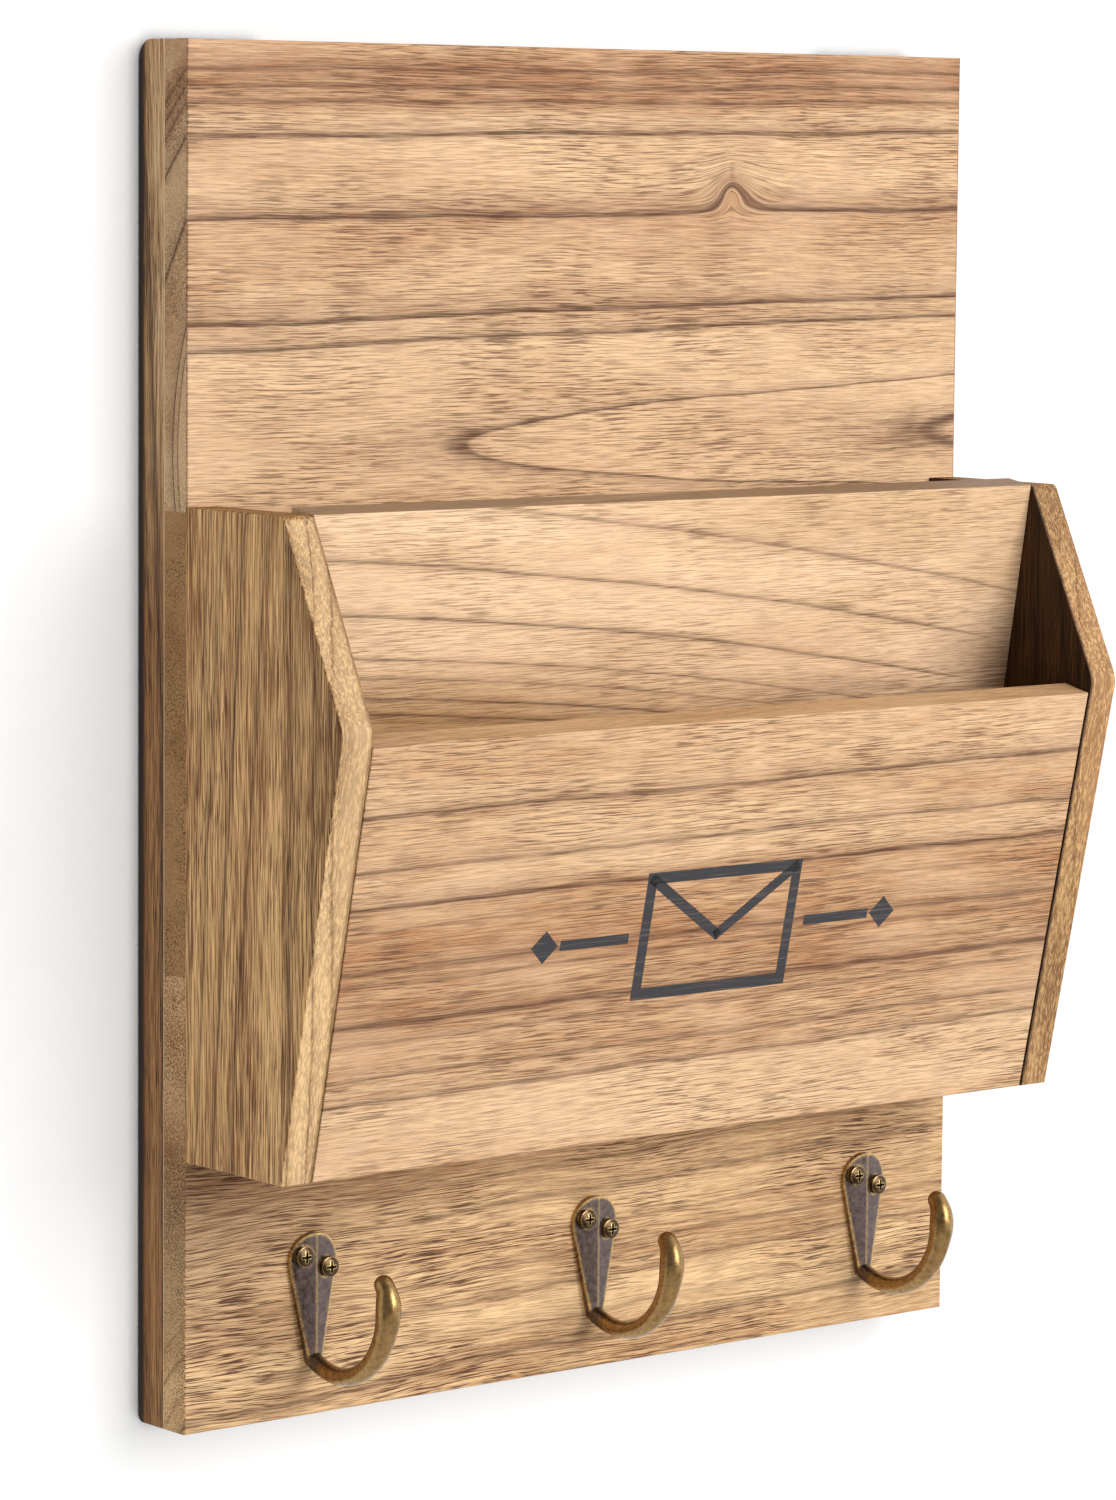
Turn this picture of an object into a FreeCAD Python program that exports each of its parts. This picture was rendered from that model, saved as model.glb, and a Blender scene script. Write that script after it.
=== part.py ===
import FreeCAD, Part
import math
import os

# Wall mail organizer: a back board of glued boards on two battens, a pocket with two
# letter slots, and a row of cast hooks. Millimetres. X runs to the right as seen from the
# front, Y towards the wall, Z up. The origin is on the wall's face, midway between the
# entry holes of the two keyhole plates that it hangs on.

Vector = FreeCAD.Vector

# Back board and battens
back_width = 280.0
back_height = 376.0
back_thickness = 10.0
lower_boards_height = 125.3
batten_thickness = 12.0
batten_width = 40.0
batten_top_round = 5.5
batten_bottom_round = 2.0
eased_edge = 0.5

# Pocket
pocket_up = 75.0
pocket_height = 177.0
side_thickness = 10.0
side_rear_depth = 43.5
side_bulge = 26.5
bulge_up = 122.0
bulge_round = 7.5
side_top_round = 2.0
floor_thickness = 10.0
front_thickness = 10.0
front_height = 121.0
front_end_gap = 0.4
divider_thickness = 10.0
divider_foot_depth = 16.0
divider_end_gap = 0.2

# Hooks and their screws
left_hook_inset = 42.2
right_hook_inset = 33.4
hook_head_up = 43.3
middle_hook_aside = 1.7
middle_hook_lower = 1.2
middle_hook_shorter = 1.3
hook_head_radius = 8.0
hook_neck_radius = 2.3
hook_neck_drop = 27.4
hook_ridge = 3.0
hook_rim = 1.2
hook_seat = 1.9
prong_root_radius = 2.45
prong_root_reach = 2.2
prong_full_radius = 3.5
prong_tip_radius = 2.7
prong_bend_radius = 23.0
prong_bend_reach = 12.4
prong_drop = 30.2
prong_curl_radius = 9.0
prong_curl_turn = 40.0
prong_bend_sections = 8
prong_curl_sections = 2
hook_screw_spread = 4.25
hook_screw_stagger = 1.85
hook_screw_head_radius = 2.85
hook_screw_head_height = 2.4
hook_screw_head_side = 1.7
hook_screw_radius = 1.6
hook_screw_length = 9.0

# Keyhole plates
hanger_drop = 40.0
hanger_inset = 20.0
plate_width = 16.0
plate_length = 44.0
plate_thickness = 1.5
plate_entry_radius = 4.75
plate_slot_radius = 2.25
plate_slot_rise = 8.0
plate_screw_inset = 5.0
plate_well_depth = 7.0
plate_well_margin = 1.5

# Countersunk screws: shank radius, head radius and length from the flat of the head
batten_screw = (1.75, 3.5, 18.0)
side_screw = (1.75, 3.5, 40.0)
floor_screw = (1.75, 3.5, 28.0)
plate_screw = (1.25, 2.5, 9.0)
batten_screw_inset = 7.0
batten_screw_rise = 45.0
side_screw_inset = 30.0
floor_screw_inset = 80.0

# Shape of a screw's point and of its cross recess, as shares of its radius or head
point_share = 2.2
recess_reach = 0.62
recess_width = 0.25
recess_depth = 0.8
recess_taper = 0.45

# Fits
screw_fit = 0.05
recess_fit = 0.15

# Margin by which a cutting solid passes the faces that it cuts
past = 1.0

# Places worked out from the sizes above
half_width = back_width / 2
top_z = hanger_drop
bottom_z = top_z - back_height
batten_face_y = -batten_thickness
front_face_y = batten_face_y - back_thickness
pocket_bottom_z = bottom_z + pocket_up
pocket_top_z = pocket_bottom_z + pocket_height
inner_half_width = half_width - side_thickness
seam_y = front_face_y - side_rear_depth
bulge_y = seam_y - side_bulge
bulge_z = pocket_bottom_z + bulge_up
floor_top_z = pocket_bottom_z + floor_thickness
hanger_x = half_width - hanger_inset
plate_middle_z = plate_slot_rise / 2
board_joints = {
    "bottom": (bottom_z, bottom_z + lower_boards_height),
    "middle": (bottom_z + lower_boards_height, bottom_z + 2 * lower_boards_height),
    "top": (bottom_z + 2 * lower_boards_height, top_z),
}
hook_screw_spots = (
    (-hook_screw_spread, hook_screw_stagger),
    (hook_screw_spread, -hook_screw_stagger),
)


def box(x0, x1, y0, y1, z0, z1):
    return Part.makeBox(x1 - x0, y1 - y0, z1 - z0, Vector(x0, y0, z0))


def along_x(points_yz, x0, x1):
    """A prism along X on a polygon given as (y, z) points."""
    ring = [Vector(x0, y, z) for y, z in points_yz]
    face = Part.Face(Part.makePolygon(ring + ring[:1]))
    return face.extrude(Vector(x1 - x0, 0, 0))


def round_edges(shape, radius, wanted):
    """Fillet the straight edges of shape for which wanted(middle, direction) holds."""
    chosen = []
    for edge in shape.Edges:
        if edge.Curve.TypeId != "Part::GeomLine":
            continue
        start, end = edge.Vertexes[0].Point, edge.Vertexes[-1].Point
        if wanted((start + end) * 0.5, (end - start).normalize()):
            chosen.append(edge)
    return shape.makeFillet(radius, chosen)


def turned(points_ry, place):
    """A solid turned about the Y direction through place, from (radius, y) points."""
    ring = [Vector(r, y, 0) for r, y in points_ry]
    face = Part.Face(Part.makePolygon(ring + ring[:1]))
    solid = face.revolve(Vector(0, 0, 0), Vector(0, 1, 0), 360)
    solid.translate(place)
    return solid


def cross_recess(head, depth, opens):
    """A cross that tapers as it goes in, its mouth at Y = 0 and open towards opens."""
    reach, half = head * recess_reach, head * recess_width / 2
    blades = []
    corners = ((-reach, -half), (reach, -half), (reach, half), (-reach, half))
    for turn in (0, 90):
        mouth = [Vector(x, 0, z) for x, z in corners]
        foot = [Vector(p.x * recess_taper, -opens * depth, p.z) for p in mouth]
        wires = [Part.makePolygon(ring + ring[:1]) for ring in (mouth, foot)]
        blade = Part.makeLoft(wires, True, True)
        blade.rotate(Vector(0, 0, 0), Vector(0, 1, 0), turn)
        blades.append(blade)
    return blades[0].fuse(blades[1]).removeSplitter()


def countersunk_screw(sizes, place):
    """A screw that points along -Y, the flat of its head at place."""
    radius, head, length = sizes
    cone = head - radius
    profile = [
        (0, 0),
        (head, 0),
        (radius, -cone),
        (radius, point_share * radius - length),
        (0, -length),
    ]
    body = turned(profile, Vector(0, 0, 0))
    screw = body.cut(cross_recess(head, cone * recess_depth, 1))
    screw.translate(place)
    return screw


def countersunk_hole(sizes, place):
    """What a countersunk screw takes away, with its fit all round."""
    radius, head, length = sizes
    wide, deep = radius + screw_fit, length + screw_fit
    profile = [
        (0, past),
        (head + screw_fit, past),
        (head + screw_fit, 0),
        (wide, radius - head),
        (wide, point_share * radius - deep),
        (0, -deep),
    ]
    return turned(profile, place)


def countersunk_places():
    """Sizes and place of each countersunk screw, by the name of its node."""
    places = {}
    for side, sign in (("left", -1), ("right", 1)):
        for level, (joint_z, _) in board_joints.items():
            x = sign * (half_width - batten_width + batten_screw_inset)
            place = Vector(x, 0, joint_z + batten_screw_rise)
            places[f"{side}_batten_{level}_screw"] = (batten_screw, place)
        for level, z in (
            ("lower", pocket_bottom_z + side_screw_inset),
            ("upper", pocket_top_z - side_screw_inset),
        ):
            place = Vector(sign * (half_width - side_thickness / 2), 0, z)
            places[f"{side}_side_{level}_screw"] = (side_screw, place)
        place = Vector(
            sign * (half_width - floor_screw_inset),
            batten_face_y,
            floor_top_z - floor_thickness / 2,
        )
        places[f"{side}_floor_screw"] = (floor_screw, place)
        reach = plate_length / 2 - plate_screw_inset
        for level, z in (("lower", plate_middle_z - reach), ("upper", plate_middle_z + reach)):
            places[f"{side}_hanger_{level}_screw"] = (plate_screw, Vector(sign * hanger_x, 0, z))
    return places


def drill(shape, holes):
    """Cut every hole that reaches shape."""
    for hole in holes:
        if shape.BoundBox.intersect(hole.BoundBox):
            shape = shape.cut(hole)
    return shape


def upright_slot(low_radius, high_radius, z0, z1, y0, y1):
    """A solid with a round about z0, another about z1 and straight sides between them.

    The straight sides are as far apart as the smaller round is wide."""
    depth, forward = y1 - y0, Vector(0, 1, 0)
    low = Part.makeCylinder(low_radius, depth, Vector(0, y0, z0), forward)
    high = Part.makeCylinder(high_radius, depth, Vector(0, y0, z1), forward)
    half = min(low_radius, high_radius)
    return low.fuse([high, box(-half, half, y0, y1, z0, z1)]).removeSplitter()


def plate_blank(grow, y0, y1):
    """The round-ended outline of a keyhole plate, grown on all sides, from y0 to y1."""
    straight = (plate_length - plate_width) / 2
    radius = plate_width / 2 + grow
    low, high = plate_middle_z - straight, plate_middle_z + straight
    return upright_slot(radius, radius, low, high, y0, y1)


def hanger_plate(x):
    """A steel plate with a keyhole, flush with the back of the batten."""
    keyhole = upright_slot(
        plate_entry_radius, plate_slot_radius, 0, plate_slot_rise, -plate_thickness - past, past
    )
    plate = plate_blank(0, -plate_thickness, 0).cut(keyhole)
    plate.translate(Vector(x, 0, 0))
    return plate


def hanger_recess(x):
    """What a batten loses to a keyhole plate and to the wall screw's head behind it."""
    bed = plate_blank(recess_fit, -plate_thickness, past)
    radius = plate_entry_radius + plate_well_margin
    well = upright_slot(radius, radius, 0, plate_slot_rise, -plate_well_depth, 0)
    recess = bed.fuse(well).removeSplitter()
    recess.translate(Vector(x, 0, 0))
    return recess


def batten(sign):
    """An upright behind the back board, with its rear corners rounded at both ends."""
    x0, x1 = sorted((sign * half_width, sign * (half_width - batten_width)))
    blank = box(x0, x1, batten_face_y, 0, bottom_z, top_z)
    for z, radius in ((top_z, batten_top_round), (bottom_z, batten_bottom_round)):
        blank = round_edges(
            blank,
            radius,
            lambda mid, way, z=z: abs(mid.y) < 0.01 and abs(mid.z - z) < 0.01 and abs(way.x) > 0.99,
        )
    return blank.cut(hanger_recess(sign * hanger_x))


def back_board(z0, z1):
    """One of the glued boards of the back, eased along the back's outer front edges."""
    board = box(-half_width, half_width, front_face_y, batten_face_y, z0, z1)

    def eased(mid, way):
        upright = abs(way.z) > 0.99
        level_end = abs(way.x) > 0.99 and (mid.z < bottom_z + 0.01 or mid.z > top_z - 0.01)
        return abs(mid.y - front_face_y) < 0.01 and (upright or level_end)

    return round_edges(board, eased_edge, eased)


def side_boards(sign):
    """The rear and the front board of one side of the pocket, split along their seam."""
    outline = [
        (front_face_y, pocket_bottom_z),
        (seam_y, pocket_bottom_z),
        (bulge_y, bulge_z),
        (seam_y, pocket_top_z),
        (front_face_y, pocket_top_z),
    ]
    x0, x1 = sorted((sign * half_width, sign * inner_half_width))
    side = along_x(outline, x0, x1)
    for y, z, radius in ((bulge_y, bulge_z, bulge_round), (seam_y, pocket_top_z, side_top_round)):
        side = round_edges(
            side,
            radius,
            lambda mid, way, y=y, z=z: abs(mid.y - y) < 0.01 and abs(mid.z - z) < 0.01,
        )
    outer_x = sign * half_width
    side = round_edges(
        side,
        eased_edge,
        lambda mid, way: abs(mid.x - outer_x) < 0.01 and mid.y < front_face_y - 1,
    )
    reach = back_width
    rear = side.common(box(-reach, reach, seam_y, 0, pocket_bottom_z, pocket_top_z))
    front = side.common(box(-reach, reach, bulge_y, seam_y, pocket_bottom_z, pocket_top_z))
    return rear, front


def lean(y0, z0, y1, z1):
    """Unit vectors up a leaning face and square to it towards the wall, as (y, z)."""
    length = math.hypot(y1 - y0, z1 - z0)
    up = ((y1 - y0) / length, (z1 - z0) / length)
    return up, (up[1], -up[0])


front_up, front_in = lean(seam_y, pocket_bottom_z, bulge_y, bulge_z)
front_foot = front_thickness / front_in[0]
front_slope = front_in[1] / front_in[0]


def front_panel():
    """The leaning front, square at its top edge and level at its foot."""
    top = (seam_y + front_up[0] * front_height, pocket_bottom_z + front_up[1] * front_height)
    outline = [
        (seam_y, pocket_bottom_z),
        top,
        (top[0] + front_in[0] * front_thickness, top[1] + front_in[1] * front_thickness),
        (seam_y + front_foot, pocket_bottom_z),
    ]
    half = inner_half_width - front_end_gap
    panel = along_x(outline, -half, half)

    def eased(mid, way):
        outside = (mid.y - seam_y) * front_in[0] + (mid.z - pocket_bottom_z) * front_in[1]
        return abs(outside) < 0.01

    return round_edges(panel, eased_edge, eased)


def divider_board():
    """The leaning board between the slots, level at its foot and square at its top."""
    foot_y = front_face_y - divider_foot_depth
    up, inward = lean(foot_y, floor_top_z, seam_y, pocket_top_z)
    outline = [
        (foot_y, floor_top_z),
        (seam_y, pocket_top_z),
        (seam_y + inward[0] * divider_thickness, pocket_top_z + inward[1] * divider_thickness),
        (foot_y + divider_thickness / inward[0], floor_top_z),
    ]
    half = inner_half_width - divider_end_gap
    board = along_x(outline, -half, half)
    return round_edges(
        board,
        eased_edge,
        lambda mid, way: abs(way.x) > 0.99 and mid.z > pocket_top_z - 0.01,
    )


def floor_board():
    """The pocket's floor, its front edge cut to the lean of the front panel."""
    outline = [
        (front_face_y, pocket_bottom_z),
        (seam_y + front_foot, pocket_bottom_z),
        (seam_y + front_foot - floor_thickness * front_slope, floor_top_z),
        (front_face_y, floor_top_z),
    ]
    return along_x(outline, -inner_half_width, inner_half_width)


def drop_outline(head, neck, drop):
    """The drop-shaped outline of a hook's plate in the XZ plane, as a face.

    Its head is round about the origin and its neck round about a point drop below."""
    lean_angle = math.asin((head - neck) / drop)
    cos_a, sin_a = math.cos(lean_angle), math.sin(lean_angle)
    head_right = Vector(head * cos_a, 0, -head * sin_a)
    head_left = Vector(-head_right.x, 0, head_right.z)
    neck_right = Vector(neck * cos_a, 0, -drop - neck * sin_a)
    neck_left = Vector(-neck_right.x, 0, neck_right.z)
    edges = [
        Part.Arc(head_right, Vector(0, 0, head), head_left).toShape(),
        Part.makeLine(head_left, neck_left),
        Part.Arc(neck_left, Vector(0, 0, -drop - neck), neck_right).toShape(),
        Part.makeLine(neck_right, head_right),
    ]
    return Part.Face(Part.Wire(edges))


def hook_plate(shorter):
    """The plate: a drop with two flat facets that rise to a ridge down its middle."""
    blank = drop_outline(hook_head_radius, hook_neck_radius, hook_neck_drop - shorter)
    blank = blank.extrude(Vector(0, -hook_ridge - 1, 0))
    reach = hook_head_radius + 1
    fall = (hook_ridge - hook_rim) / hook_head_radius
    section = [
        (-reach, 0),
        (-reach, fall * reach - hook_ridge),
        (0, -hook_ridge),
        (reach, fall * reach - hook_ridge),
        (reach, 0),
    ]
    low, high = -hook_neck_drop - hook_neck_radius - 1, hook_head_radius + 1
    ring = [Vector(x, y, low) for x, y in section]
    roof = Part.Face(Part.makePolygon(ring + ring[:1])).extrude(Vector(0, 0, high - low))
    return blank.common(roof)


def prong_stations(shorter):
    """Centre, direction and radius of the prong's sections, from its root to its tip.

    The prong bends down and out on one large arc, rises, and curls back at its tip."""
    centre_z = prong_bend_radius - prong_drop + shorter
    start = math.asin((prong_bend_reach - prong_root_reach) / prong_bend_radius)
    turn = math.pi / 2 + start
    stations = []
    for n in range(prong_bend_sections + 1):
        share = n / prong_bend_sections
        angle = start - turn * share
        y = -prong_bend_reach + prong_bend_radius * math.sin(angle)
        z = centre_z - prong_bend_radius * math.cos(angle)
        radius = prong_root_radius + (prong_full_radius - prong_root_radius) * share**2
        stations.append((y, z, -math.cos(angle), -math.sin(angle), radius))
    side_y = -prong_bend_reach - prong_bend_radius
    for n in range(1, prong_curl_sections + 1):
        share = n / prong_curl_sections
        angle = math.radians(prong_curl_turn) * share
        y = side_y + prong_curl_radius * (1 - math.cos(angle))
        z = centre_z + prong_curl_radius * math.sin(angle)
        radius = prong_full_radius + (prong_tip_radius - prong_full_radius) * share
        stations.append((y, z, math.sin(angle), math.cos(angle), radius))
    return stations


def ring_at(y, z, way_y, way_z, radius):
    circle = Part.makeCircle(radius, Vector(0, y, z), Vector(0, way_y, way_z))
    return Part.Wire([circle])


def half_ball(y, z, way_y, way_z, radius):
    """Half a ball whose flat side is centred at (y, z) and whose dome points along the way."""
    return Part.makeSphere(radius, Vector(0, y, z), Vector(0, way_y, way_z), 0, 90, 360)


def hook_prong(shorter):
    """The prong, lofted through its sections, with a round heel and a round tip."""
    stations = prong_stations(shorter)
    prong = Part.makeLoft([ring_at(*station) for station in stations], True, False)
    y, z, way_y, way_z, radius = stations[0]
    heel = half_ball(y, z, -way_y, -way_z, radius)
    return prong.fuse([heel, half_ball(*stations[-1])])


def hook(shorter=0.0):
    """One cast hook about the centre of its plate's head, with two screw holes and seats.

    shorter is how much less it measures from its head to its prong than the others."""
    behind = box(-back_width, back_width, 0, back_width, -back_width, back_width)
    body = hook_plate(shorter).fuse(hook_prong(shorter).cut(behind))
    reach, forward = hook_ridge + past, Vector(0, 1, 0)
    for x, z in hook_screw_spots:
        start = Vector(x, -reach, z)
        bore = Part.makeCylinder(hook_screw_radius + screw_fit, reach + past, start, forward)
        seat = Part.makeCylinder(hook_screw_head_radius + recess_fit, reach - hook_seat, start, forward)
        body = body.cut([bore, seat])
    return body.removeSplitter()


def pan_head_screw():
    """A screw that points along +Y, the flat under its head at Y = 0.

    The head is a short drum with a shallow dome and a cross recess."""
    rise, wide, radius = hook_screw_head_height, hook_screw_head_radius, hook_screw_radius
    bulge = rise - hook_screw_head_side
    dome = (wide**2 + bulge**2) / (2 * bulge)
    drum = Part.makeCylinder(wide, rise, Vector(0, -rise, 0), Vector(0, 1, 0))
    head = drum.common(Part.makeSphere(dome, Vector(0, dome - rise, 0)))
    tail = hook_screw_length
    shank = turned([(0, 0), (radius, 0), (radius, tail - point_share * radius), (0, tail)], Vector(0, 0, 0))
    recess = cross_recess(wide, rise * recess_depth, -1)
    recess.translate(Vector(0, -rise, 0))
    return head.fuse(shank).cut(recess).removeSplitter()


def pan_head_hole(place):
    """What a pan-head screw's shank takes away, with its fit all round."""
    wide = hook_screw_radius + screw_fit
    tail = hook_screw_length + screw_fit
    shoulder = tail - point_share * hook_screw_radius
    return turned([(0, 0), (wide, 0), (wide, shoulder), (0, tail)], place)


def hook_places():
    """Where each hook sits: the centre of its plate's head on the back board's face."""
    z = bottom_z + hook_head_up
    left_x, right_x = left_hook_inset - half_width, half_width - right_hook_inset
    middle_x = (left_x + right_x) / 2 - middle_hook_aside
    return {
        "left": Vector(left_x, front_face_y, z),
        "middle": Vector(middle_x, front_face_y, z - middle_hook_lower),
        "right": Vector(right_x, front_face_y, z),
    }


def hook_screw_places():
    """Where the head of each hook's screw seats, by the name of its node."""
    places = {}
    for side, place in hook_places().items():
        for level, (x, z) in zip(("upper", "lower"), hook_screw_spots):
            places[f"{side}_hook_{level}_screw"] = place + Vector(x, -hook_seat, z)
    return places


def moved(shape, place):
    copy = shape.copy()
    copy.translate(place)
    return copy


def make_parts():
    """Every piece of the organizer, by the name of its node."""
    parts = {f"back_{level}_board": back_board(*ends) for level, ends in board_joints.items()}
    for side, sign in (("left", -1), ("right", 1)):
        rear, front = side_boards(sign)
        parts[f"{side}_side_rear_board"] = rear
        parts[f"{side}_side_front_board"] = front
        parts[f"{side}_batten"] = batten(sign)
        parts[f"{side}_hanger_plate"] = hanger_plate(sign * hanger_x)
    parts["pocket_bottom_board"] = floor_board()
    parts["divider_board"] = divider_board()
    parts["front_panel"] = front_panel()

    countersunk, pan_heads = countersunk_places(), hook_screw_places()
    holes = [countersunk_hole(sizes, place) for sizes, place in countersunk.values()]
    holes += [pan_head_hole(place) for place in pan_heads.values()]
    parts = {name: drill(shape, holes) for name, shape in parts.items()}

    for name, (sizes, place) in countersunk.items():
        parts[name] = countersunk_screw(sizes, place)
    one_screw = pan_head_screw()
    for side, place in hook_places().items():
        cast = hook(middle_hook_shorter) if side == "middle" else hook()
        parts[f"{side}_hook"] = moved(cast, place)
    for name, place in pan_heads.items():
        parts[name] = moved(one_screw, place)
    return parts


os.makedirs("parts", exist_ok=True)
parts = make_parts()
for name, shape in sorted(parts.items()):
    shape.exportStep(f"parts/{name}.step")
    print(name, len(shape.Solids), "solid", round(shape.Volume), "mm3")
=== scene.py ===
# %% [markdown]
# # A wooden wall mail organizer, dressed for its portrait
# The construction model comes in as a fixed frame: every board, hook and screw is already there, in
# metres, where it belongs. This lesson only decides what each of them is made of and how it is lit.

# %% Load the frame
import math
import bmesh
import bpy
from mathutils import Matrix, Vector


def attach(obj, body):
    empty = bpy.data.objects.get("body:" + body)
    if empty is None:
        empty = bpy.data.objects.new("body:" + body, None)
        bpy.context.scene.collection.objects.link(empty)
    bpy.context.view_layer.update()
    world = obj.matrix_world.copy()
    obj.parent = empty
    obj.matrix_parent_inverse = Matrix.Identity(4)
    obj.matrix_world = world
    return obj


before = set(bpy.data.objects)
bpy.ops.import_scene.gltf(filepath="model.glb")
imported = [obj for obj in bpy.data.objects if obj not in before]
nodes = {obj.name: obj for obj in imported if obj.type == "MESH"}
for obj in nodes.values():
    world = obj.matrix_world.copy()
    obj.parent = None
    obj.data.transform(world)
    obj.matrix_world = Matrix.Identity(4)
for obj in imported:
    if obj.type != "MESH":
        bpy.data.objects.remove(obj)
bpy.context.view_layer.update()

# %% [markdown]
# ## Colours
# Paint charts give colours as they look on a screen, and Blender works with light, so a small helper
# turns one into the other. Sizes on the piece are in millimetres, and Blender's are in metres.

# %% Chart colours
MM = 0.001


def chart(red, green, blue):
    """A screen colour, 0 to 255, as the linear colour that a shader wants."""
    def light(v):
        v /= 255
        return v / 12.92 if v <= 0.04045 else ((v + 0.055) / 1.055) ** 2.4
    return (light(red), light(green), light(blue), 1)


print("tan timber renders as", [round(v, 3) for v in chart(222, 180, 130)[:3]])

# %% [markdown]
# ## Shader nodes in a few words
# Every finish here is a net of shader nodes, which would be long to write out. One helper adds a node
# and sets what it is given by name. The rest are the few nodes that come back all the time: sums, soft
# steps, mixed colours and noise that is drawn out along the wood.

# %% Node helpers
def fill(tree, spot, value):
    """Gives an input its value. Another node's output is linked, any other value is set."""
    if isinstance(value, bpy.types.NodeSocket):
        tree.links.new(value, spot)
    else:
        spot.default_value = value


def node(tree, kind, at=None, **values):
    """Adds a shader node. Its inputs go by name, with _ for a space, or by number, as in i0."""
    made = tree.nodes.new("ShaderNode" + kind)
    for name, value in (at or {}).items():
        setattr(made, name, value)
    for name, value in values.items():
        spot = int(name[1:]) if name[1:].isdigit() else name.replace("_", " ")
        fill(tree, made.inputs[spot], value)
    return made


def maths(tree, operation, *values):
    """A Math node's result."""
    named = {f"i{i}": v for i, v in enumerate(values)}
    return node(tree, "Math", {"operation": operation}, **named).outputs[0]


def plus(tree, first, second):
    return maths(tree, "ADD", first, second)


def minus(tree, first, second):
    return maths(tree, "SUBTRACT", first, second)


def times(tree, first, second):
    return maths(tree, "MULTIPLY", first, second)


def larger(tree, first, second):
    return maths(tree, "MAXIMUM", first, second)


def blend_colour(tree, amount, first, second, kind="MIX"):
    """One colour mixed over another."""
    mix = node(tree, "Mix", {"data_type": "RGBA", "blend_type": kind}, i0=amount, i6=first, i7=second)
    return mix.outputs[2]


def spread(tree, value, low, high, to_low=0.0, to_high=1.0):
    """A value stretched from one range to another, with soft ends."""
    kind = {"interpolation_type": "SMOOTHSTEP"}
    return node(tree, "MapRange", kind, i0=value, i1=low, i2=high, i3=to_low, i4=to_high).outputs[0]


def drawn_noise(tree, place, scale, detail, roughness=0.5):
    """Noise drawn out along an axis. The scale is in cells for each unit along the three axes."""
    drawn = node(tree, "VectorMath", {"operation": "MULTIPLY"}, i0=place, i1=scale).outputs[0]
    noise = node(tree, "TexNoise", Vector=drawn, Scale=1.0, Detail=detail, Roughness=roughness)
    return noise.outputs[0]


print("helpers ready")

# %% [markdown]
# ## How the timber was cut
# A trunk grows one cone of wood a year round its pith, and a board is a flat slice through those cones.
# So the pattern isn't drawn on the face: the distance from the pith is worked out in space, less a
# little taper along the trunk, and each year's dark late wood is a narrow step in that distance. The
# loops on a flat face, the straight lines on its edge and the arcs on its end then come out of the one
# field and meet at every corner, as they do on a real plank.

# %% Group helpers
def new_group(name, inputs, outputs):
    """An empty shader group, the sockets that come in and the ones that go out."""
    group = bpy.data.node_groups.new(name, "ShaderNodeTree")
    for side, sockets in (("INPUT", inputs), ("OUTPUT", outputs)):
        for socket, kind in sockets.items():
            group.interface.new_socket(socket, in_out=side, socket_type="NodeSocket" + kind)
    way_in, way_out = group.nodes.new("NodeGroupInput"), group.nodes.new("NodeGroupOutput")
    return group, way_in.outputs, way_out.inputs


def use_group(tree, group, **values):
    """The group placed in a material, with its own values, named with _ for a space."""
    placed = tree.nodes.new("ShaderNodeGroup")
    placed.node_tree = group
    for name, value in values.items():
        fill(tree, placed.inputs[name.replace("_", " ")], value)
    return placed


print("groups can be made")

# %% The growth rings as a group
SLOW_DRIFT, QUICK_DRIFT = 5.0, 0.6  # mm that the rings stray, over a hand's and over a finger's width
KNOT_BLUNT, KNOT_TIP = 12.0, 3.46   # how blunt the peak over the knot is, and its square root
KNOT_FALL, KNOT_SKEW = 0.175, -0.045  # how fast the lines fall back beside it, and how unevenly
KNOT_FADE = 0.02  # how fast the bend fades above and below it

ring_group, ring_in, ring_out = new_group(
    "growth rings",
    {"Grain": "Vector", "Pith Across": "Float", "Pith Deep": "Float", "Taper": "Float",
     "Bow": "Float", "Wander": "Float", "Knot Along": "Float", "Knot Across": "Float",
     "Knot Push": "Float"},
    {"Radius": "Float", "Grain": "Vector"})
tree = ring_group
slow = drawn_noise(tree, ring_in["Grain"], (0.012, 0.045, 0.045), 2.0, 0.45)
quick = drawn_noise(tree, ring_in["Grain"], (0.09, 0.35, 0.35), 2.0)
drift = plus(tree, times(tree, minus(tree, slow, 0.5), SLOW_DRIFT),
             times(tree, minus(tree, quick, 0.5), QUICK_DRIFT))
drift = times(tree, drift, ring_in["Wander"])
along, level, through = node(tree, "SeparateXYZ", i0=ring_in["Grain"]).outputs
beside = minus(tree, along, ring_in["Knot Along"])
distance = maths(tree, "SQRT", plus(tree, times(tree, beside, beside), KNOT_BLUNT))
slope = times(tree, maths(tree, "DIVIDE", beside, distance), KNOT_SKEW)
slope = times(tree, minus(tree, distance, KNOT_TIP), plus(tree, slope, KNOT_FALL))
above = minus(tree, level, ring_in["Knot Across"])
near = plus(tree, times(tree, times(tree, above, above), KNOT_FADE), slope)
near = maths(tree, "EXPONENT", times(tree, near, -1.0))
lifted = times(tree, near, ring_in["Knot Push"])
across = minus(tree, plus(tree, level, drift), lifted)
wide = minus(tree, across, ring_in["Pith Across"])
deep = minus(tree, through, ring_in["Pith Deep"])
radius = maths(tree, "SQRT", plus(tree, times(tree, wide, wide), times(tree, deep, deep)))
radius = minus(tree, radius, times(tree, along, ring_in["Taper"]))
curve = times(tree, times(tree, along, along), ring_in["Bow"])
tree.links.new(minus(tree, radius, curve), ring_out["Radius"])
bent = node(tree, "CombineXYZ", i0=along, i1=across, i2=through).outputs[0]
tree.links.new(bent, ring_out["Grain"])
print("growth ring group:", len(tree.nodes), "nodes")

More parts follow.
